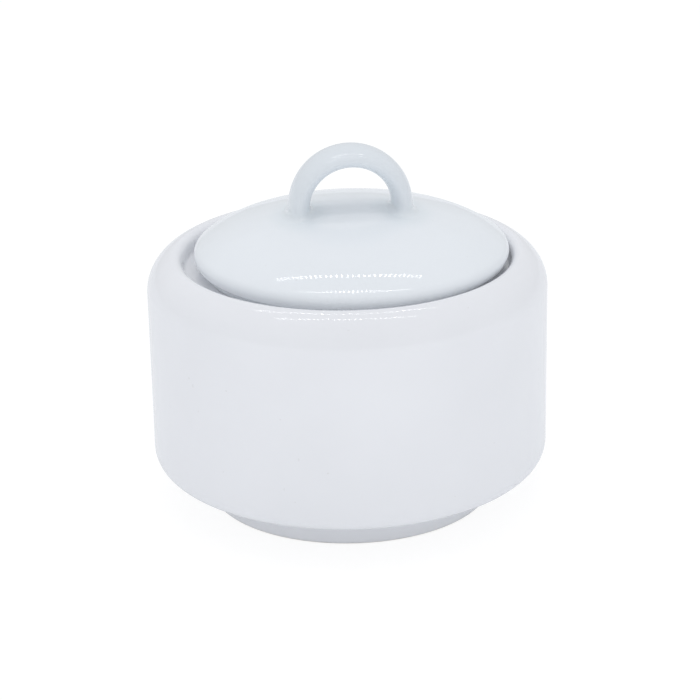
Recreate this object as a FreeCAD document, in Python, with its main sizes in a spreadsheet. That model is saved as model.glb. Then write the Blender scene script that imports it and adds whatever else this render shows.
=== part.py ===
import FreeCAD, Part
import math
import os
import re

import Sketcher

# Covered sugar bowl in glazed porcelain: a bowl on a foot ring, and a lift-off lid with a loop handle.
# Millimetres. +Z is up, the bowl's axis is the Z axis, and the foot stands on z = 0.
# The loop handle lies along X, so a finger goes through it along Y.

SIZES = {
    # bowl, outside
    "bowl_radius": 47.0,
    "rim_height": 60.0,
    "corner_round": 4.7,
    "shoulder_round": 9.0,
    "rim_width": 8.5,  # from the outer wall in to the opening
    "rim_round": 2.2,
    # foot ring
    "foot_height": 8.4,
    "foot_inset": 12.8,  # from the outer wall in to the foot
    "foot_width": 4.5,
    "foot_round": 1.2,
    "foot_root_round": 2.0,
    # bowl, inside
    "wall_thickness": 3.6,
    "base_thickness": 4.2,
    "floor_round": 7.0,
    "ledge_depth": 4.0,  # from the rim down to the ledge that carries the lid
    "ledge_width": 7.0,
    "ledge_thickness": 4.0,
    "ledge_round": 0.8,
    "roof_round": 6.0,  # inside corner under the ledge
    # lid
    "lid_gap": 1.6,  # all round, between the lid's edge and the opening
    "edge_round": 2.6,
    "edge_lift": 1.5,  # the lid's edge clears the ledge by this much
    "edge_join": 2.08,  # the bend starts this far above the middle of the edge
    "lid_shoulder": 26.0,  # radius of the bend between the edge and the dome
    "dome_rise": 10.3,  # from the middle of the edge up to the crown
    "lid_thickness": 4.0,
    "flange_width": 3.0,
    "flange_depth": 5.0,
    "flange_round": 0.8,
    # how the lid sits: its flange is loose in the throat, and has slipped to one side
    "flange_play": 1.4,
    "flange_clearance": 0.3,
    # loop handle
    "loop_radius": 12.0,  # middle of the strap
    "loop_thickness": 5.0,
    "loop_depth": 11.4,
    "loop_lift": 0.7,  # the loop's centre lies this far above the crown
}

OPENING = "bowl_radius - rim_width"
THROAT = OPENING + " - ledge_width"
LEDGE = "rim_height - ledge_depth"
FOOT_RADIUS = "bowl_radius - foot_inset"
INNER_RADIUS = "bowl_radius - wall_thickness"
FLOOR = "foot_height + base_thickness"
LEDGE_UNDERSIDE = LEDGE + " - ledge_thickness"
EDGE_RADIUS = OPENING + " - lid_gap - edge_round"  # centre of the lid's rounded edge
EDGE_BOTTOM = LEDGE + " + edge_lift"
EDGE_LEVEL = EDGE_BOTTOM + " + edge_round"
CROWN = EDGE_LEVEL + " + dome_rise"
FLANGE_RADIUS = THROAT + " - flange_play"
FLANGE_BOTTOM = LEDGE + " - flange_depth"

# The dome is the one arc that runs on from the bend and is level at the crown. Its radius follows
# from where the bend's centre lies: so far out from the axis, and so far below the crown.
BEND_REACH = "(lid_shoulder - edge_round) / edge_round"
BEND_ACROSS = f"({EDGE_RADIUS} - {BEND_REACH} * sqrt(edge_round ^ 2 - edge_join ^ 2))"
BEND_BELOW = f"(dome_rise + {BEND_REACH} * edge_join)"
DOME_RADIUS = (
    f"({BEND_ACROSS} ^ 2 + {BEND_BELOW} ^ 2 - lid_shoulder ^ 2)"
    f" / (2 * ({BEND_BELOW} - lid_shoulder))"
)

doc = FreeCAD.newDocument("sugar_bowl")
sheet = doc.addObject("Spreadsheet::Sheet", "sizes")
for row, (word, size) in enumerate(SIZES.items(), start=1):
    sheet.set(f"A{row}", word)
    sheet.set(f"B{row}", str(size))
    sheet.setAlias(f"B{row}", word)
doc.recompute()


def measure(text):
    """Work out a sum of sizes such as "bowl_radius - rim_width"."""
    total = 0.0
    sign = 1
    for word in text.split():
        if word in ("+", "-"):
            sign = 1 if word == "+" else -1
        else:
            total += sign * SIZES[word]
    return total


def bound(text):
    """The same sum, as an expression on the cells of the sheet."""
    return re.sub(
        r"[a-z_]+",
        lambda word: "sizes." + word.group() if word.group() in SIZES else word.group(),
        text,
    )


def lid_centres():
    """Centres of the edge, the bend and the dome, whose arcs run on into each other."""
    edge_size, bend_size = SIZES["edge_round"], SIZES["lid_shoulder"]
    edge = FreeCAD.Vector(measure(EDGE_RADIUS), measure(EDGE_LEVEL), 0)
    lean = math.asin(SIZES["edge_join"] / edge_size)
    inward = FreeCAD.Vector(-math.cos(lean), -math.sin(lean), 0)
    bend = edge + inward * (bend_size - edge_size)
    below = measure(CROWN) - bend.y
    dome_size = (bend.x**2 + below**2 - bend_size**2) / (2 * (below - bend_size))
    return edge, bend, FreeCAD.Vector(0, measure(CROWN) - dome_size, 0)


def new_body(label):
    body = doc.addObject("PartDesign::Body", label)
    body.Label = label
    return body


def origin_item(body, role):
    return next(item for item in body.Origin.OriginFeatures if item.Role == role)


def new_sketch(body, name, plane):
    sketch = body.newObject("Sketcher::SketchObject", name)
    sketch.AttachmentSupport = (origin_item(body, plane), "")
    sketch.MapMode = "FlatFace"
    return sketch


def hold(sketch, kind, where, text, now):
    """Add a size to a sketch and bind it to the sheet."""
    number = sketch.addConstraint(Sketcher.Constraint(kind, *where, now))
    sketch.setExpression(f"Constraints[{number}]", text)


def hold_point(sketch, geometry, end, across, up):
    """Pin a point of a sketch by sums of sizes, or by None where tangency settles it."""
    point = sketch.getPoint(geometry, end)
    if across is not None:
        hold(sketch, "DistanceX", (-1, 1, geometry, end), bound(across), point.x)
    if up is not None:
        hold(sketch, "DistanceY", (-1, 1, geometry, end), bound(up), point.y)


def join(sketch, first, first_end, second, second_end, kind="Coincident"):
    sketch.addConstraint(Sketcher.Constraint(kind, first, first_end, second, second_end))


def draw_run(sketch, corners):
    """Draw straight lines through corners given as pairs of sums: (across, up).

    None stands for the axis of rotation, or for the ground. Returns the first and last lines.
    """
    points = [
        FreeCAD.Vector(measure(across) if across else 0, measure(up) if up else 0, 0)
        for across, up in corners
    ]
    first = sketch.GeometryCount
    for number, (start, end) in enumerate(zip(points, points[1:])):
        line = sketch.addGeometry(Part.LineSegment(start, end), False)
        if number:
            join(sketch, line - 1, 2, line, 1)
    last = sketch.GeometryCount - 1
    for number, (across, up) in enumerate(corners):
        line, end = (first + number, 1) if number < len(points) - 1 else (last, 2)
        if across is None:
            sketch.addConstraint(Sketcher.Constraint("PointOnObject", line, end, -2))
        if up is None:
            sketch.addConstraint(Sketcher.Constraint("PointOnObject", line, end, -1))
        hold_point(sketch, line, end, across, up)
    return first, last


def arc(centre, radius, start, end):
    """Arc about a point of the sketch, anticlockwise from one angle to another in radians."""
    circle = Part.Circle(centre, FreeCAD.Vector(0, 0, 1), radius)
    return Part.ArcOfCircle(circle, start, end)


def turn(body, sketch, name):
    """Turn a half section about the upright axis."""
    solid = body.newObject("PartDesign::Revolution", name)
    solid.Profile = sketch
    solid.ReferenceAxis = (sketch, ["V_Axis"])
    solid.Angle = 360
    doc.recompute()
    return solid


def round_edges(body, name, size, circles):
    """Round the circular edges given as (radius, height) sums."""
    base = body.Tip
    wanted = [(measure(radius), measure(height) if height else 0.0) for radius, height in circles]
    edges = []
    for number, edge in enumerate(base.Shape.Edges, start=1):
        if edge.Degenerated or not isinstance(edge.Curve, Part.Circle):
            continue
        found = (edge.Curve.Radius, edge.Curve.Center.z)
        if any(math.dist(found, place) < 1e-4 for place in wanted):
            edges.append(f"Edge{number}")
    if len(edges) != len(wanted):
        raise RuntimeError(f"{name}: {len(edges)} of {len(wanted)} edges found")
    fillet = body.newObject("PartDesign::Fillet", name)
    fillet.Base = (base, edges)
    fillet.setExpression("Radius", bound(size))
    doc.recompute()


def make_bowl():
    """The bowl: a half section turned round, then its edges rounded."""
    body = new_body("bowl")
    sketch = new_sketch(body, "bowl_section", "XZ_Plane")
    shoulder, rim = SIZES["shoulder_round"], SIZES["rim_round"]
    shoulder_across = SIZES["bowl_radius"] - shoulder
    rim_centre = FreeCAD.Vector(measure(OPENING) + rim, SIZES["rim_height"] - rim, 0)
    lean = math.acos((rim_centre.x - shoulder_across) / (shoulder - rim))
    shoulder_up = rim_centre.y - (shoulder - rim) * math.sin(lean)
    shoulder_centre = FreeCAD.Vector(shoulder_across, shoulder_up, 0)

    # from the top of the ledge's wall down the inside, under the foot and up the outside
    inside, _ = draw_run(
        sketch,
        [
            (OPENING, "rim_height - rim_round"),
            (OPENING, LEDGE),
            (THROAT, LEDGE),
            (THROAT, LEDGE_UNDERSIDE),
            (INNER_RADIUS, LEDGE_UNDERSIDE),
            (INNER_RADIUS, FLOOR),
            (None, FLOOR),
            (None, "foot_height"),
            (FOOT_RADIUS + " - foot_width", "foot_height"),
            (FOOT_RADIUS + " - foot_width", None),
            (FOOT_RADIUS, None),
            (FOOT_RADIUS, "foot_height"),
            ("bowl_radius", "foot_height"),
        ],
    )
    foot = FreeCAD.Vector(SIZES["bowl_radius"], SIZES["foot_height"], 0)
    wall_top = FreeCAD.Vector(SIZES["bowl_radius"], shoulder_up, 0)
    wall = sketch.addGeometry(Part.LineSegment(foot, wall_top), False)
    join(sketch, wall - 1, 2, wall, 1)
    sketch.addConstraint(Sketcher.Constraint("Vertical", wall))

    # the shoulder and the rim: two arcs, tangent to the wall, to each other and to the ledge's wall
    bend = sketch.addGeometry(arc(shoulder_centre, shoulder, 0, lean), False)
    lip = sketch.addGeometry(arc(rim_centre, rim, lean, math.pi), False)
    join(sketch, wall, 2, bend, 1, "Tangent")
    join(sketch, bend, 2, lip, 1, "Tangent")
    join(sketch, lip, 2, inside, 1, "Tangent")
    hold(sketch, "Radius", (bend,), bound("shoulder_round"), shoulder)
    hold(sketch, "Radius", (lip,), bound("rim_round"), rim)
    turn(body, sketch, "bowl_turned")

    round_edges(body, "lower_corner", "corner_round", [("bowl_radius", "foot_height")])
    round_edges(body, "foot_root", "foot_root_round", [(FOOT_RADIUS, "foot_height")])
    round_edges(
        body,
        "foot_edges",
        "foot_round",
        [(FOOT_RADIUS, None), (FOOT_RADIUS + " - foot_width", None)],
    )
    round_edges(body, "floor_corner", "floor_round", [(INNER_RADIUS, FLOOR)])
    round_edges(body, "roof_corner", "roof_round", [(INNER_RADIUS, LEDGE_UNDERSIDE)])
    round_edges(
        body,
        "ledge_edges",
        "ledge_round",
        [(THROAT, LEDGE), (THROAT, LEDGE_UNDERSIDE), (OPENING, LEDGE)],
    )
    return body


def make_lid():
    """The lid: a low dome that bends down to a rounded edge, over a flat seat and a flange."""
    body = new_body("lid")
    sketch = new_sketch(body, "lid_section", "XZ_Plane")
    edge_centre, bend_centre, dome_centre = lid_centres()
    at_edge, at_dome = edge_centre - bend_centre, bend_centre - dome_centre
    edge_lean, dome_lean = math.atan2(at_edge.y, at_edge.x), math.atan2(at_dome.y, at_dome.x)
    dome_size = measure(CROWN) - dome_centre.y
    hollow = dome_size - SIZES["lid_thickness"]
    flange_inside = FLANGE_RADIUS + " - flange_width"
    hollow_lean = math.acos(measure(flange_inside) / hollow)

    # the top, from the seat out round the edge, up the bend and over the dome to the axis
    places = [
        (edge_centre, SIZES["edge_round"], -math.pi / 2, edge_lean),
        (bend_centre, SIZES["lid_shoulder"], edge_lean, dome_lean),
        (dome_centre, dome_size, dome_lean, math.pi / 2),
    ]
    round_edge, bend, dome = [sketch.addGeometry(arc(*place), False) for place in places]
    join(sketch, round_edge, 2, bend, 1, "Tangent")
    join(sketch, bend, 2, dome, 1, "Tangent")
    hold(sketch, "Radius", (round_edge,), bound("edge_round"), SIZES["edge_round"])
    hold(sketch, "Radius", (bend,), bound("lid_shoulder"), SIZES["lid_shoulder"])
    hold_point(sketch, round_edge, 2, None, EDGE_LEVEL + " + edge_join")
    sketch.addConstraint(Sketcher.Constraint("Vertical", round_edge, 3, round_edge, 1))
    sketch.addConstraint(Sketcher.Constraint("PointOnObject", dome, 3, -2))
    sketch.addConstraint(Sketcher.Constraint("PointOnObject", dome, 2, -2))
    hold_point(sketch, dome, 2, None, CROWN)

    # the hollow underneath, a constant thickness below the dome
    roof = sketch.addGeometry(arc(dome_centre, hollow, hollow_lean, math.pi / 2), False)
    join(sketch, roof, 3, dome, 3)
    sketch.addConstraint(Sketcher.Constraint("PointOnObject", roof, 2, -2))
    hold(
        sketch,
        "DistanceY",
        (roof, 2, dome, 2),
        bound("lid_thickness"),
        SIZES["lid_thickness"],
    )
    crown_low, crown_high = sketch.getPoint(roof, 2), sketch.getPoint(dome, 2)
    middle = sketch.addGeometry(Part.LineSegment(crown_low, crown_high), False)
    join(sketch, middle, 1, roof, 2)
    join(sketch, middle, 2, dome, 2)

    # the flange and the seat
    flange_wall = sketch.getPoint(roof, 1)
    flange_foot = FreeCAD.Vector(measure(flange_inside), measure(FLANGE_BOTTOM), 0)
    inner_wall = sketch.addGeometry(Part.LineSegment(flange_wall, flange_foot), False)
    join(sketch, inner_wall, 1, roof, 1)
    sketch.addConstraint(Sketcher.Constraint("Vertical", inner_wall))
    flange, seat_end = draw_run(
        sketch,
        [
            (flange_inside, FLANGE_BOTTOM),
            (FLANGE_RADIUS, FLANGE_BOTTOM),
            (FLANGE_RADIUS, LEDGE),
            (EDGE_RADIUS, LEDGE),
            (EDGE_RADIUS, EDGE_BOTTOM),
        ],
    )
    join(sketch, inner_wall, 2, flange, 1)
    join(sketch, seat_end, 2, round_edge, 1)
    turn(body, sketch, "lid_turned")
    round_edges(
        body,
        "flange_edges",
        "flange_round",
        [(FLANGE_RADIUS, FLANGE_BOTTOM), (flange_inside, FLANGE_BOTTOM)],
    )
    body.setExpression("Placement.Base.x", bound("flange_play - flange_clearance"))
    return body


def make_handle():
    """The loop handle: an oval strap bent round in a ring, cut off where it meets the dome."""
    body = new_body("lid_handle")
    sketch = new_sketch(body, "strap_section", "YZ_Plane")
    centre_height = CROWN + " + loop_lift"
    strap_height = centre_height + " + loop_radius"
    half_depth, half_thickness = SIZES["loop_depth"] / 2, SIZES["loop_thickness"] / 2
    # the axis that the strap bends round
    level = measure(centre_height)
    left, right = FreeCAD.Vector(-half_depth, level, 0), FreeCAD.Vector(half_depth, level, 0)
    axis = sketch.addGeometry(Part.LineSegment(left, right), True)
    sketch.addConstraint(Sketcher.Constraint("Symmetric", axis, 1, axis, 2, -2))
    hold(sketch, "DistanceX", (axis, 1, axis, 2), bound("loop_depth"), SIZES["loop_depth"])
    hold_point(sketch, axis, 1, None, centre_height)

    # the oval section at the top of the loop
    middle = FreeCAD.Vector(0, measure(strap_height), 0)
    side = middle + FreeCAD.Vector(half_depth, 0, 0)
    top = middle + FreeCAD.Vector(0, half_thickness, 0)
    oval = sketch.addGeometry(Part.Ellipse(side, top, middle), False)
    sketch.exposeInternalGeometry(oval)
    sketch.addConstraint(Sketcher.Constraint("PointOnObject", oval, 3, -2))
    hold_point(sketch, oval, 3, None, strap_height)
    long_line, short_line = oval + 1, oval + 2
    hold(sketch, "Distance", (long_line,), bound("loop_depth"), SIZES["loop_depth"])
    hold(sketch, "Distance", (short_line,), bound("loop_thickness"), SIZES["loop_thickness"])
    sketch.addConstraint(Sketcher.Constraint("Horizontal", long_line))
    ring = body.newObject("PartDesign::Revolution", "strap_ring")
    ring.Profile = sketch
    ring.ReferenceAxis = (sketch, ["Axis0"])
    ring.Angle = 360
    doc.recompute()

    # the ring is cut off by a ball that matches the dome
    ball = body.newObject("PartDesign::SubtractiveSphere", "dome_seat")
    ball.AttachmentSupport = (origin_item(body, "XY_Plane"), "")
    ball.MapMode = "FlatFace"
    ball.setExpression("Radius", bound(DOME_RADIUS))
    ball.setExpression(".AttachmentOffset.Base.z", bound(f"{CROWN} - {DOME_RADIUS}"))
    body.setExpression("Placement.Base.x", bound("flange_play - flange_clearance"))
    doc.recompute()
    return body


def check(sub_parts):
    """Stop before anything is written if a feature failed or a shape is unsound."""
    failed = [item.Name for item in doc.Objects if {"Invalid", "Error"} & set(item.State)]
    if failed:
        raise RuntimeError(f"these objects failed: {failed}")
    for body in sub_parts:
        shape = body.Shape
        if shape.isNull() or not shape.isValid() or len(shape.Solids) != 1:
            raise RuntimeError(f"{body.Label} is not one valid solid")


pieces = [make_bowl(), make_lid(), make_handle()]
doc.recompute()
check(pieces)
os.makedirs("parts", exist_ok=True)
for piece in pieces:
    piece.Shape.exportStep(f"parts/{piece.Label}.step")
    print(f"{piece.Label}: {piece.Shape.Volume / 1000:.1f} cm3")
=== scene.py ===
import math

import bmesh
import bpy
from mathutils import Matrix, Quaternion, Vector


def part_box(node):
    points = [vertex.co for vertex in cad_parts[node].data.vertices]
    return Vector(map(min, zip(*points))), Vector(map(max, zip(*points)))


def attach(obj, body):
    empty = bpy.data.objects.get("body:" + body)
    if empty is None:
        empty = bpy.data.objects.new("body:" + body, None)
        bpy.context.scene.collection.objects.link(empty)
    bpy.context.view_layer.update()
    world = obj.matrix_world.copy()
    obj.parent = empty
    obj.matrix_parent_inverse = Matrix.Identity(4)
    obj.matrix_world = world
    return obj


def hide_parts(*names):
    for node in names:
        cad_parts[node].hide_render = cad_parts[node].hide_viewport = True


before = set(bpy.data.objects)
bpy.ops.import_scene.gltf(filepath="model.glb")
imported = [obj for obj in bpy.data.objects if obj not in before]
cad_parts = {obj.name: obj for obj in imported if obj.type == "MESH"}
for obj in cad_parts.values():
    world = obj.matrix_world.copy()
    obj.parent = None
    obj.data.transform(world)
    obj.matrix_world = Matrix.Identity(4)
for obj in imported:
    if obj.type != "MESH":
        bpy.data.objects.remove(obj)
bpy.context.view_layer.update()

# Covered sugar bowl in white glazed porcelain. Lengths are in metres, +Z is up, and the loop handle
# lies along X. Every size that the frame gives is taken from it; the others are the maker's.

MM = 0.001

bowl_low, bowl_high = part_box("bowl")
lid_low, lid_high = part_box("lid")
loop_low, loop_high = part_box("lid_handle")

# the bowl
BOWL_RADIUS = bowl_high.x
RIM_HEIGHT = bowl_high.z
CORNER_ROUND = 4.7 * MM
SHOULDER_ROUND = 9.0 * MM
RIM_ROUND = 2.2 * MM
OPENING = BOWL_RADIUS - 8.5 * MM
THROAT = OPENING - 7.0 * MM
LEDGE = RIM_HEIGHT - 4.0 * MM
LEDGE_THICKNESS = 4.0 * MM
INNER_RADIUS = BOWL_RADIUS - 3.6 * MM
FOOT_HEIGHT = 8.4 * MM
FOOT_RADIUS = BOWL_RADIUS - 12.8 * MM
FOOT_WIDTH = 4.5 * MM
FOOT_ROUND = 1.2 * MM
FOOT_ROOT_ROUND = 2.0 * MM
FLOOR_ROUND = 7.0 * MM
ROOF_ROUND = 6.0 * MM
LEDGE_ROUND = 0.8 * MM
FLOOR_HEIGHT = FOOT_HEIGHT + 4.2 * MM

# the lid, which has slipped a little to one side in its seat
LID_MIDDLE = (lid_low.x + lid_high.x) / 2
LID_RADIUS = (lid_high.x - lid_low.x) / 2
CROWN = lid_high.z
EDGE_ROUND = 2.6 * MM
EDGE_BOTTOM = LEDGE + 1.5 * MM
LID_SHOULDER = 26.0 * MM
LID_THICKNESS = 4.0 * MM
FLANGE_RADIUS = THROAT - 1.4 * MM
FLANGE_WIDTH = 3.0 * MM
FLANGE_BOTTOM = lid_low.z
FLANGE_ROUND = 0.8 * MM
SEAT_ROOT_ROUND = 0.3 * MM
SEAT_ROUND = 0.4 * MM

# the lid's top is three arcs that run on into each other: the edge, the bend and the dome
EDGE_CENTRE = Vector((LID_RADIUS - EDGE_ROUND, EDGE_BOTTOM + EDGE_ROUND))
EDGE_JOIN = 2.08 * MM
EDGE_LEAN = math.asin(EDGE_JOIN / EDGE_ROUND)
EDGE_WAY = Vector((math.cos(EDGE_LEAN), math.sin(EDGE_LEAN)))
BEND_CENTRE = EDGE_CENTRE - (LID_SHOULDER - EDGE_ROUND) * EDGE_WAY
BEND_BELOW = CROWN - BEND_CENTRE.y
DOME_RADIUS = BEND_CENTRE.x**2 + BEND_BELOW**2 - LID_SHOULDER**2
DOME_RADIUS /= 2 * (BEND_BELOW - LID_SHOULDER)
DOME_CENTRE = Vector((0, CROWN - DOME_RADIUS))

# the loop handle: an oval strap, with clay smoothed round its feet
LOOP_THICKNESS = 5.0 * MM
LOOP_DEPTH = 11.4 * MM
LOOP_RADIUS = (loop_high.x - loop_low.x - LOOP_THICKNESS) / 2
LOOP_LEVEL = loop_high.z - LOOP_THICKNESS / 2 - LOOP_RADIUS
FLARE = 1.6 * MM
FLARE_START = 4.0  # degrees above the loop's middle, where the arch gives way to a straight leg

# how finely the meshes are divided
TURN_STEPS = 192
LINE_STEP = 1.2 * MM
ARC_STEP = 0.35 * MM
STRAP_SIDES = 96
ARCH_STEPS = 120
FLARE_STEPS = 12
WELD = 0.001 * MM


# --- outlines -------------------------------------------------------------------------------------

def arc(centre, radius, start, end):
    """Points of an arc from one angle to another, in degrees, closely spaced."""
    count = max(4, round(abs(math.radians(end - start)) * radius / ARC_STEP))
    angles = [math.radians(start + (end - start) * step / count) for step in range(count + 1)]
    return [(centre[0] + radius * math.cos(a), centre[1] + radius * math.sin(a)) for a in angles]


def rounded(before, corner, after, radius):
    """The arc that rounds a corner between two others."""
    corner = Vector(corner)
    come, go = Vector(before) - corner, Vector(after) - corner
    come.normalize()
    go.normalize()
    half = come.angle(go) / 2
    reach = radius / math.tan(half)
    start, end = corner + come * reach, corner + go * reach
    centre = corner + (come + go).normalized() * (radius / math.sin(half))
    first = math.degrees(math.atan2(*(start - centre).yx))
    last = math.degrees(math.atan2(*(end - centre).yx))
    turn = (last - first + 180) % 360 - 180
    return arc(centre, radius, first, first + turn)


def outline(corners):
    """An outline through (across, up, round) corners, with the rounds as arcs."""
    points = []
    for number, (across, up, radius) in enumerate(corners):
        if radius and 0 < number < len(corners) - 1:
            before, after = corners[number - 1][:2], corners[number + 1][:2]
            points += rounded(before, (across, up), after, radius)
        else:
            points.append((across, up))
    return points


def divided(points):
    """The same outline with its long straight stretches divided."""
    fine = [Vector(points[0])]
    for point in points[1:]:
        point = Vector(point)
        gap = (point - fine[-1]).length
        if gap < 1e-7:
            continue
        start, parts = fine[-1].copy(), max(1, round(gap / LINE_STEP))
        fine += [start.lerp(point, part / parts) for part in range(1, parts + 1)]
    return fine


def turned(points, middle):
    """A mesh turned from an outline that starts and ends on the upright axis."""
    mesh = bmesh.new()
    verts = [mesh.verts.new((p.x, 0, p.y)) for p in divided(points)]
    edges = [mesh.edges.new(pair) for pair in zip(verts, verts[1:])]
    bmesh.ops.spin(
        mesh,
        geom=verts + edges,
        cent=(0, 0, 0),
        axis=(0, 0, 1),
        angle=math.tau,
        steps=TURN_STEPS,
        use_merge=True,
    )
    bmesh.ops.remove_doubles(mesh, verts=mesh.verts, dist=WELD)
    bmesh.ops.recalc_face_normals(mesh, faces=mesh.faces)
    bmesh.ops.translate(mesh, verts=mesh.verts, vec=(middle, 0, 0))
    return mesh


def fade(gap, near, far):
    """1 up to one distance, 0 from another, and smooth between them."""
    share = min(1.0, max(0.0, (far - gap) / (far - near)))
    return share * share * (3 - 2 * share)


def paint(data, name, rule):
    """Keep a mask from 0 to 1 on a mesh, for its finish to read."""
    layer = data.attributes.new(name, "FLOAT", "POINT")
    for mark, vert in zip(layer.data, data.vertices):
        mark.value = rule(vert.co)


def finished(mesh, name, material, body, node, pooled_and_shaded, bare):
    """Make a piece of a mesh and put it in the frame in place of its plain node."""
    data = bpy.data.meshes.new(name)
    mesh.to_mesh(data)
    mesh.free()
    for polygon in data.polygons:
        polygon.use_smooth = True
    # the first mask marks pooled glaze together with painted shade in creases and round the loop's feet
    paint(data, "pooled_and_shaded", pooled_and_shaded)
    paint(data, "bare", bare)
    data.materials.append(material)
    piece = bpy.data.objects.new(name, data)
    bpy.context.scene.collection.objects.link(piece)
    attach(piece, body)
    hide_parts(node)
    return piece


# --- pieces ---------------------------------------------------------------------------------------

def bowl_mesh():
    rim_across, rim_up = OPENING + RIM_ROUND, RIM_HEIGHT - RIM_ROUND
    shoulder_across = BOWL_RADIUS - SHOULDER_ROUND
    lean = math.degrees(math.acos((rim_across - shoulder_across) / (SHOULDER_ROUND - RIM_ROUND)))
    rise = (SHOULDER_ROUND - RIM_ROUND) * math.sin(math.radians(lean))
    shoulder = (shoulder_across, rim_up - rise)
    underneath = LEDGE - LEDGE_THICKNESS
    outside = outline([
        (0, FOOT_HEIGHT, 0),
        (FOOT_RADIUS - FOOT_WIDTH, FOOT_HEIGHT, FOOT_ROOT_ROUND),
        (FOOT_RADIUS - FOOT_WIDTH, 0, FOOT_ROUND),
        (FOOT_RADIUS, 0, FOOT_ROUND),
        (FOOT_RADIUS, FOOT_HEIGHT, FOOT_ROOT_ROUND),
        (BOWL_RADIUS, FOOT_HEIGHT, CORNER_ROUND),
        (BOWL_RADIUS, shoulder[1], 0),
    ])
    top = arc(shoulder, SHOULDER_ROUND, 0, lean) + arc((rim_across, rim_up), RIM_ROUND, lean, 180)
    inside = outline([
        (OPENING, rim_up, 0),
        (OPENING, LEDGE, LEDGE_ROUND),
        (THROAT, LEDGE, LEDGE_ROUND),
        (THROAT, underneath, LEDGE_ROUND),
        (INNER_RADIUS, underneath, ROOF_ROUND),
        (INNER_RADIUS, FLOOR_HEIGHT, FLOOR_ROUND),
        (0, FLOOR_HEIGHT, 0),
    ])
    return turned(outside + top + inside, 0)


def dome_height(x, y):
    return CROWN - DOME_RADIUS + math.sqrt(DOME_RADIUS**2 - (x - LID_MIDDLE) ** 2 - y**2)


def lid_mesh():
    edge_lean = math.degrees(EDGE_LEAN)
    dome_lean = math.degrees(math.atan2(*(BEND_CENTRE - DOME_CENTRE).yx))
    flange_inside = FLANGE_RADIUS - FLANGE_WIDTH
    hollow = DOME_RADIUS - LID_THICKNESS
    roof = arc(DOME_CENTRE, hollow, 90, math.degrees(math.acos(flange_inside / hollow)))
    under = outline([
        roof[-1] + (0,),
        (flange_inside, FLANGE_BOTTOM, FLANGE_ROUND),
        (FLANGE_RADIUS, FLANGE_BOTTOM, FLANGE_ROUND),
        (FLANGE_RADIUS, LEDGE, SEAT_ROOT_ROUND),
        (EDGE_CENTRE.x, LEDGE, SEAT_ROUND),
        (EDGE_CENTRE.x, EDGE_BOTTOM, 0),
    ])
    edge = arc(EDGE_CENTRE, EDGE_ROUND, -90, edge_lean)
    bend = arc(BEND_CENTRE, LID_SHOULDER, edge_lean, dome_lean)
    dome = arc(DOME_CENTRE, DOME_RADIUS, dome_lean, 90)
    return turned(roof + under + edge + bend + dome, LID_MIDDLE)


def spread_foot(mesh, edges, side):
    """Carry one end of the strap down to the dome, widening as the clay is smoothed out."""
    middle = LID_MIDDLE + side * LOOP_RADIUS
    before = 0.0
    turns = [math.radians(90 * step / FLARE_STEPS) for step in range(FLARE_STEPS + 1)]
    places = [(FLARE * (1 - math.cos(t)), FLARE * (1 - math.sin(t)) + 0.01 * MM) for t in turns]
    # the clay runs out just under the surface of the dome, so that no seam shows
    places += [(FLARE + out * MM, -deep * MM) for out, deep in ((0.3, 0.02), (0.6, 0.05), (0.6, 0.2))]
    for spread, height in places:
        grown = bmesh.ops.extrude_edge_only(mesh, edges=edges)["geom"]
        edges = [item for item in grown if isinstance(item, bmesh.types.BMEdge)]
        for vert in {vert for edge in edges for vert in edge.verts}:
            across, deep = (vert.co.x - middle) / (LOOP_THICKNESS / 2 + before), vert.co.y
            angle = math.atan2(deep / (LOOP_DEPTH / 2 + before), across)
            vert.co.x = middle + (LOOP_THICKNESS / 2 + spread) * math.cos(angle)
            vert.co.y = (LOOP_DEPTH / 2 + spread) * math.sin(angle)
            vert.co.z = dome_height(vert.co.x, vert.co.y) + height
        before = spread
    bmesh.ops.holes_fill(mesh, edges=edges)


def handle_mesh():
    """The strap: an oval bent round in an arch, with its two feet spread onto the dome."""
    mesh = bmesh.new()
    start_angle = math.radians(FLARE_START)
    ring = bmesh.ops.create_circle(mesh, segments=STRAP_SIDES, radius=1.0)["verts"]
    bmesh.ops.scale(mesh, verts=ring, vec=(LOOP_THICKNESS / 2, LOOP_DEPTH / 2, 1))
    bmesh.ops.translate(mesh, verts=ring, vec=(-LOOP_RADIUS, 0, 0))
    bmesh.ops.rotate(mesh, verts=ring, cent=(0, 0, 0), matrix=Matrix.Rotation(start_angle, 3, "Y"))
    left = mesh.edges[:]
    arch = bmesh.ops.spin(
        mesh,
        geom=ring + left,
        cent=(0, 0, 0),
        axis=(0, 1, 0),
        angle=math.pi - 2 * start_angle,
        steps=ARCH_STEPS,
    )
    right = [item for item in arch["geom_last"] if isinstance(item, bmesh.types.BMEdge)]
    bmesh.ops.translate(mesh, verts=mesh.verts, vec=(LID_MIDDLE, 0, LOOP_LEVEL))
    spread_foot(mesh, left, -1)
    spread_foot(mesh, right, 1)
    bmesh.ops.recalc_face_normals(mesh, faces=mesh.faces)
    return mesh


# --- where the glaze pools, with painted shade, and where there is none ---------------------------

WIPED = (0.2 * MM, 0.6 * MM)


def bowl_pooled_and_shaded(place):
    """Glaze gathers in the crease over the foot, under it and round the floor, darker there partly as
    painted shade.
    """
    creases = [
        (FOOT_RADIUS, FOOT_HEIGHT),
        (FOOT_RADIUS - FOOT_WIDTH, FOOT_HEIGHT),
        (INNER_RADIUS, FLOOR_HEIGHT),
    ]
    here = (math.hypot(place.x, place.y), place.z)
    return fade(min(math.dist(here, crease) for crease in creases), 0.8 * MM, 3.0 * MM)


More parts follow.
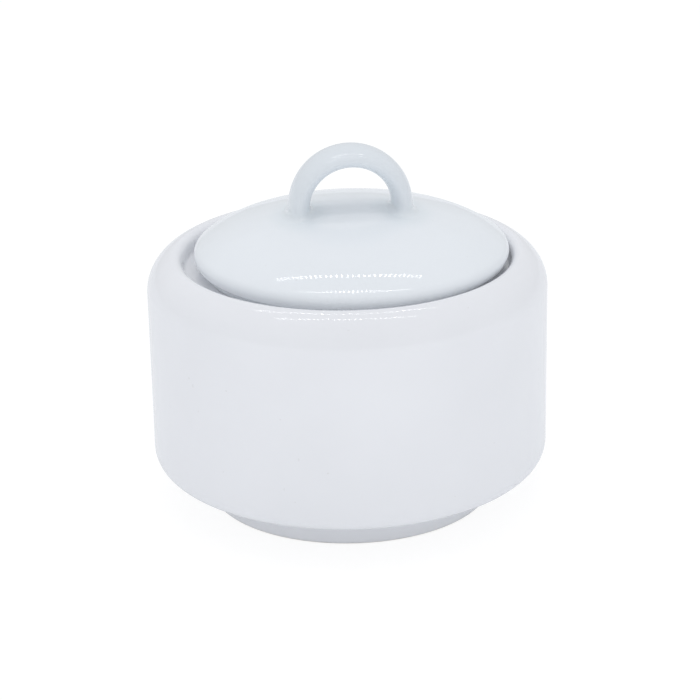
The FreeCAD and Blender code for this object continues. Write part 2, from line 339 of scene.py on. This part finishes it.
def lid_pooled_and_shaded(place):
    """Glaze gathers round each foot of the loop, on the lid's top, darker there partly as painted shade.
    """
    across = (abs(place.x - LID_MIDDLE) - LOOP_RADIUS) / (LOOP_THICKNESS / 2 + FLARE)
    gap = (math.hypot(across, place.y / (LOOP_DEPTH / 2 + FLARE)) - 1) * LOOP_THICKNESS / 2
    return fade(gap, 0.0, 2.5 * MM) * (place.z > EDGE_CENTRE.y)


def loop_pooled_and_shaded(place):
    """It gathers the same way at the foot of the strap, so the two meet in one tone: there the loop's
    painted shade gives way to the pooled and painted-shade tone.
    """
    return fade(place.z - dome_height(place.x, place.y), 0.1 * MM, 3.0 * MM)


def bowl_bare(place):
    """The foot is wiped clean where it stands in the kiln."""
    return fade(place.z, *WIPED)


def lid_bare(place):
    """The lid is fired on its flange, whose lower edge is wiped clean."""
    return fade(place.z - FLANGE_BOTTOM, *WIPED)


def loop_bare(place):
    """The loop is glazed all over."""
    return 0.0


# --- finishes -------------------------------------------------------------------------------------

BOWL_WHITE = (0.92, 0.925, 0.95, 1)
LID_WHITE = (0.905, 0.936, 0.965, 1)
# painted shade: the loop is the lid's own glaze, coloured darker for the shade its upright strap stands
# in
LOOP_SHADED_WHITE = (0.805, 0.845, 0.88, 1)
# pooled glaze in creases and round the loop's feet, darker partly as painted shade
POOLED_AND_SHADED_WHITE = (0.855, 0.90, 0.93, 1)
IRON_SPECK = (0.45, 0.42, 0.38, 1)
BARE_CLAY = (0.78, 0.75, 0.69, 1)
CLAY_ROUGHNESS = 0.75
GLAZE_INDEX = 1.5
RIPPLE_HEIGHT = 0.004 * MM


def new_material(name):
    material = bpy.data.materials.new(name)
    material.use_nodes = True
    return material, material.node_tree.nodes, material.node_tree.links


def map_range(nodes, links, source, before, after):
    """Stretch a value from one range to another."""
    change = nodes.new("ShaderNodeMapRange")
    change.inputs["From Min"].default_value, change.inputs["From Max"].default_value = before
    change.inputs["To Min"].default_value, change.inputs["To Max"].default_value = after
    links.new(source, change.inputs["Value"])
    return change.outputs["Result"]


def blend(nodes, links, share, first, second):
    """Mix two colours, the second of them fixed."""
    mix = nodes.new("ShaderNodeMix")
    mix.data_type = "RGBA"
    mix.inputs["B"].default_value = second
    links.new(share, mix.inputs["Factor"])
    links.new(first, mix.inputs["A"])
    return mix.outputs["Result"]


def cloud(nodes, links, where, scale, detail):
    """Soft noise in the piece's own space."""
    noise = nodes.new("ShaderNodeTexNoise")
    noise.inputs["Scale"].default_value = scale
    noise.inputs["Detail"].default_value = detail
    links.new(where, noise.inputs["Vector"])
    return noise.outputs["Fac"]


def make_glaze_surface():
    """Shared by every piece: cloudy glaze, pooled in creases with painted shade, with bare clay where it
    is wiped off.
    """
    group = bpy.data.node_groups.new("glaze_surface", "ShaderNodeTree")
    group.interface.new_socket("Glaze", in_out="INPUT", socket_type="NodeSocketColor")
    group.interface.new_socket("Pooled_and_shaded", in_out="INPUT", socket_type="NodeSocketFloat")
    group.interface.new_socket("Bare", in_out="INPUT", socket_type="NodeSocketFloat")
    group.interface.new_socket("Colour", in_out="OUTPUT", socket_type="NodeSocketColor")
    group.interface.new_socket("Roughness", in_out="OUTPUT", socket_type="NodeSocketFloat")
    group.interface.new_socket("Height", in_out="OUTPUT", socket_type="NodeSocketFloat")
    nodes, links = group.nodes, group.links
    given = nodes.new("NodeGroupInput")
    result = nodes.new("NodeGroupOutput")
    where = nodes.new("ShaderNodeTexCoord").outputs["Object"]

    # the colour: faint clouds, a few fine specks of iron, pooled glaze with painted shade, and bare clay
    clouds = cloud(nodes, links, where, 42, 3)
    tone = nodes.new("ShaderNodeHueSaturation")
    links.new(given.outputs["Glaze"], tone.inputs["Color"])
    links.new(map_range(nodes, links, clouds, (0.3, 0.7), (0.985, 1.01)), tone.inputs["Value"])
    specks = map_range(nodes, links, cloud(nodes, links, where, 900, 0), (0.85, 0.89), (0, 0.14))
    colour = blend(nodes, links, specks, tone.outputs["Color"], IRON_SPECK)
    # pooled glaze and painted shade darken the creases and the lid round the loop's feet
    colour = blend(nodes, links, given.outputs["Pooled_and_shaded"], colour, POOLED_AND_SHADED_WHITE)
    wobble = nodes.new("ShaderNodeMath")
    wobble.operation = "MULTIPLY_ADD"
    wobble.inputs[1].default_value = 0.5
    links.new(cloud(nodes, links, where, 300, 2), wobble.inputs[0])
    links.new(given.outputs["Bare"], wobble.inputs[2])
    bare = map_range(nodes, links, wobble.outputs["Value"], (0.7, 0.8), (0, 1))
    colour = blend(nodes, links, bare, colour, BARE_CLAY)
    links.new(colour, result.inputs["Colour"])

    # glossy, a little less so in places, and dull on bare clay
    shine = map_range(nodes, links, cloud(nodes, links, where, 120, 2), (0.3, 0.7), (0.022, 0.042))
    dull = nodes.new("ShaderNodeMix")
    dull.inputs["B"].default_value = CLAY_ROUGHNESS
    links.new(bare, dull.inputs["Factor"])
    links.new(shine, dull.inputs["A"])
    links.new(dull.outputs["Result"], result.inputs["Roughness"])

    # the glaze lies in very shallow ripples
    links.new(cloud(nodes, links, where, 150, 1), result.inputs["Height"])
    return group


def glaze(name, group, colour):
    """White glaze of one piece, from the shared surface and the piece's own masks."""
    material, nodes, links = new_material(name)
    shader = nodes["Principled BSDF"]
    shader.inputs["IOR"].default_value = GLAZE_INDEX
    surface = nodes.new("ShaderNodeGroup")
    surface.node_tree = group
    surface.inputs["Glaze"].default_value = colour
    # the pooled mask carries painted shade as well as pooled glaze
    for mask in ("Pooled_and_shaded", "Bare"):
        source = nodes.new("ShaderNodeAttribute")
        source.attribute_name = mask.lower()
        links.new(source.outputs["Fac"], surface.inputs[mask])
    links.new(surface.outputs["Colour"], shader.inputs["Base Color"])
    links.new(surface.outputs["Roughness"], shader.inputs["Roughness"])
    ripple = nodes.new("ShaderNodeBump")
    ripple.inputs["Distance"].default_value = RIPPLE_HEIGHT
    links.new(surface.outputs["Height"], ripple.inputs["Height"])
    links.new(ripple.outputs["Normal"], shader.inputs["Normal"])
    return material


# --- studio ---------------------------------------------------------------------------------------

CAMERA_AZIMUTH = math.radians(-6.0)
CAMERA_ELEVATION = math.radians(21.51)
CAMERA_ROLL = math.radians(-1.09)
CAMERA_DISTANCE = 571 * MM
CAMERA_LENS = 123.4
CAMERA_SHIFT = 0.0021
AIM = Vector((0, 0, 34.8 * MM))

LAMP_PITCH = 12.4 * MM
LAMP_COUNT = 31
LAMP_WIDTH = 4.4 * MM
LAMP_LENGTH = 26.0 * MM
CEILING = 464 * MM
ROW_DEPTHS = (103 * MM, -49 * MM)
ROW_SHIFT = -8 * MM
LAMP_STRENGTH = 11

TABLE_HALF = 6.0
TABLE_GLOW = 0.86  # as the lens sees it
TENT_WALL = (0.635, 0.645, 0.66, 1)
TENT_TOP = (0.82, 0.837, 0.867, 1)
WHITE = (1, 1, 1, 1)


def emitter(name, strength):
    material, nodes, links = new_material(name)
    nodes.remove(nodes["Principled BSDF"])
    light = nodes.new("ShaderNodeEmission")
    light.inputs["Color"].default_value = WHITE
    light.inputs["Strength"].default_value = strength
    links.new(light.outputs["Emission"], nodes["Material Output"].inputs["Surface"])
    return material


def make_lamps():
    """Two rows of small lamps overhead, side to side across the view."""
    material = emitter("lamp_white", LAMP_STRENGTH)
    for number, depth in enumerate(ROW_DEPTHS):
        mesh = bmesh.new()
        for lamp in range(LAMP_COUNT):
            across = (lamp - (LAMP_COUNT - 1) / 2) * LAMP_PITCH + ROW_SHIFT
            place = Matrix.Rotation(CAMERA_AZIMUTH, 4, "Z") @ Matrix.Translation((across, depth, CEILING))
            shape = Matrix.Diagonal((LAMP_WIDTH, LAMP_LENGTH, 1, 1))
            bmesh.ops.create_grid(mesh, x_segments=1, y_segments=1, size=0.5, matrix=place @ shape)
        bmesh.ops.reverse_faces(mesh, faces=mesh.faces)
        data = bpy.data.meshes.new(f"lamp_row_{number}")
        mesh.to_mesh(data)
        mesh.free()
        data.materials.append(material)
        row = bpy.data.objects.new(f"lamp_row_{number}", data)
        bpy.context.scene.collection.objects.link(row)


def make_floor():
    """A pale table. The lens sees it near white, and a card in front of the bowl brightens it."""
    material, nodes, links = new_material("pale_table")
    shader = nodes["Principled BSDF"]
    shader.inputs["Base Color"].default_value = (0.9, 0.91, 0.92, 1)
    shader.inputs["Roughness"].default_value = 0.9
    shader.inputs["Specular IOR Level"].default_value = 0.0
    shader.inputs["Emission Color"].default_value = WHITE
    where = nodes.new("ShaderNodeTexCoord")
    parts = nodes.new("ShaderNodeSeparateXYZ")
    links.new(where.outputs["Object"], parts.inputs["Vector"])
    card = map_range(nodes, links, parts.outputs["Y"], (-180 * MM, -60 * MM), (0.34, 0.11))
    links.new(card, shader.inputs["Emission Strength"])
    matt = nodes.new("ShaderNodeBsdfDiffuse")
    matt.inputs["Color"].default_value = (0.2, 0.2, 0.2, 1)
    glow = nodes.new("ShaderNodeEmission")
    glow.inputs["Strength"].default_value = TABLE_GLOW
    seen = nodes.new("ShaderNodeAddShader")
    links.new(matt.outputs["BSDF"], seen.inputs[0])
    links.new(glow.outputs["Emission"], seen.inputs[1])
    path = nodes.new("ShaderNodeLightPath")
    choice = nodes.new("ShaderNodeMixShader")
    links.new(path.outputs["Is Camera Ray"], choice.inputs["Fac"])
    links.new(shader.outputs["BSDF"], choice.inputs[1])
    links.new(seen.outputs["Shader"], choice.inputs[2])
    links.new(choice.outputs["Shader"], nodes["Material Output"].inputs["Surface"])
    mesh = bmesh.new()
    bmesh.ops.create_grid(mesh, x_segments=1, y_segments=1, size=TABLE_HALF)
    data = bpy.data.meshes.new("table_top")
    mesh.to_mesh(data)
    mesh.free()
    data.materials.append(material)
    table = bpy.data.objects.new("table_top", data)
    bpy.context.scene.collection.objects.link(table)


def make_world():
    """A light tent: dimmer walls, a brighter top, and plain white behind the bowl."""
    world = bpy.data.worlds.new("light_tent")
    bpy.context.scene.world = world
    world.use_nodes = True
    nodes, links = world.node_tree.nodes, world.node_tree.links
    tent = nodes["Background"]
    where = nodes.new("ShaderNodeTexCoord")
    parts = nodes.new("ShaderNodeSeparateXYZ")
    links.new(where.outputs["Generated"], parts.inputs["Vector"])
    shade = nodes.new("ShaderNodeMix")
    shade.data_type = "RGBA"
    shade.inputs["A"].default_value = TENT_WALL
    shade.inputs["B"].default_value = TENT_TOP
    links.new(parts.outputs["Z"], shade.inputs["Factor"])
    links.new(shade.outputs["Result"], tent.inputs["Color"])
    plain = nodes.new("ShaderNodeBackground")
    plain.inputs["Color"].default_value = WHITE
    path = nodes.new("ShaderNodeLightPath")
    choice = nodes.new("ShaderNodeMixShader")
    links.new(path.outputs["Is Camera Ray"], choice.inputs["Fac"])
    links.new(tent.outputs["Background"], choice.inputs[1])
    links.new(plain.outputs["Background"], choice.inputs[2])
    links.new(choice.outputs["Shader"], nodes["World Output"].inputs["Surface"])


def make_camera():
    data = bpy.data.cameras.new("camera")
    data.lens = CAMERA_LENS
    data.shift_x = CAMERA_SHIFT
    camera = bpy.data.objects.new("camera", data)
    bpy.context.scene.collection.objects.link(camera)
    back = Vector((
        math.sin(CAMERA_AZIMUTH) * math.cos(CAMERA_ELEVATION),
        -math.cos(CAMERA_AZIMUTH) * math.cos(CAMERA_ELEVATION),
        math.sin(CAMERA_ELEVATION),
    ))
    camera.location = AIM + back * CAMERA_DISTANCE
    camera.rotation_mode = "QUATERNION"
    upright = (-back).to_track_quat("-Z", "Y")
    camera.rotation_quaternion = upright @ Quaternion((0, 0, 1), CAMERA_ROLL)
    data.clip_start, data.clip_end = 0.01, 20
    bpy.context.scene.camera = camera


bpy.context.scene.view_settings.view_transform = "Standard"
surface = make_glaze_surface()
bowl_glaze = glaze("bowl_glaze", surface, BOWL_WHITE)
lid_glaze = glaze("lid_glaze", surface, LID_WHITE)
# the loop's glaze carries painted shade in its darker base colour
loop_shaded_glaze = glaze("loop_shaded_glaze", surface, LOOP_SHADED_WHITE)
finished(bowl_mesh(), "glazed_bowl", bowl_glaze, "bowl", "bowl", bowl_pooled_and_shaded, bowl_bare)
finished(lid_mesh(), "glazed_lid", lid_glaze, "lid", "lid", lid_pooled_and_shaded, lid_bare)
finished(handle_mesh(), "glazed_loop", loop_shaded_glaze, "lid", "lid_handle", loop_pooled_and_shaded, loop_bare)
make_floor()
make_lamps()
make_world()
make_camera()
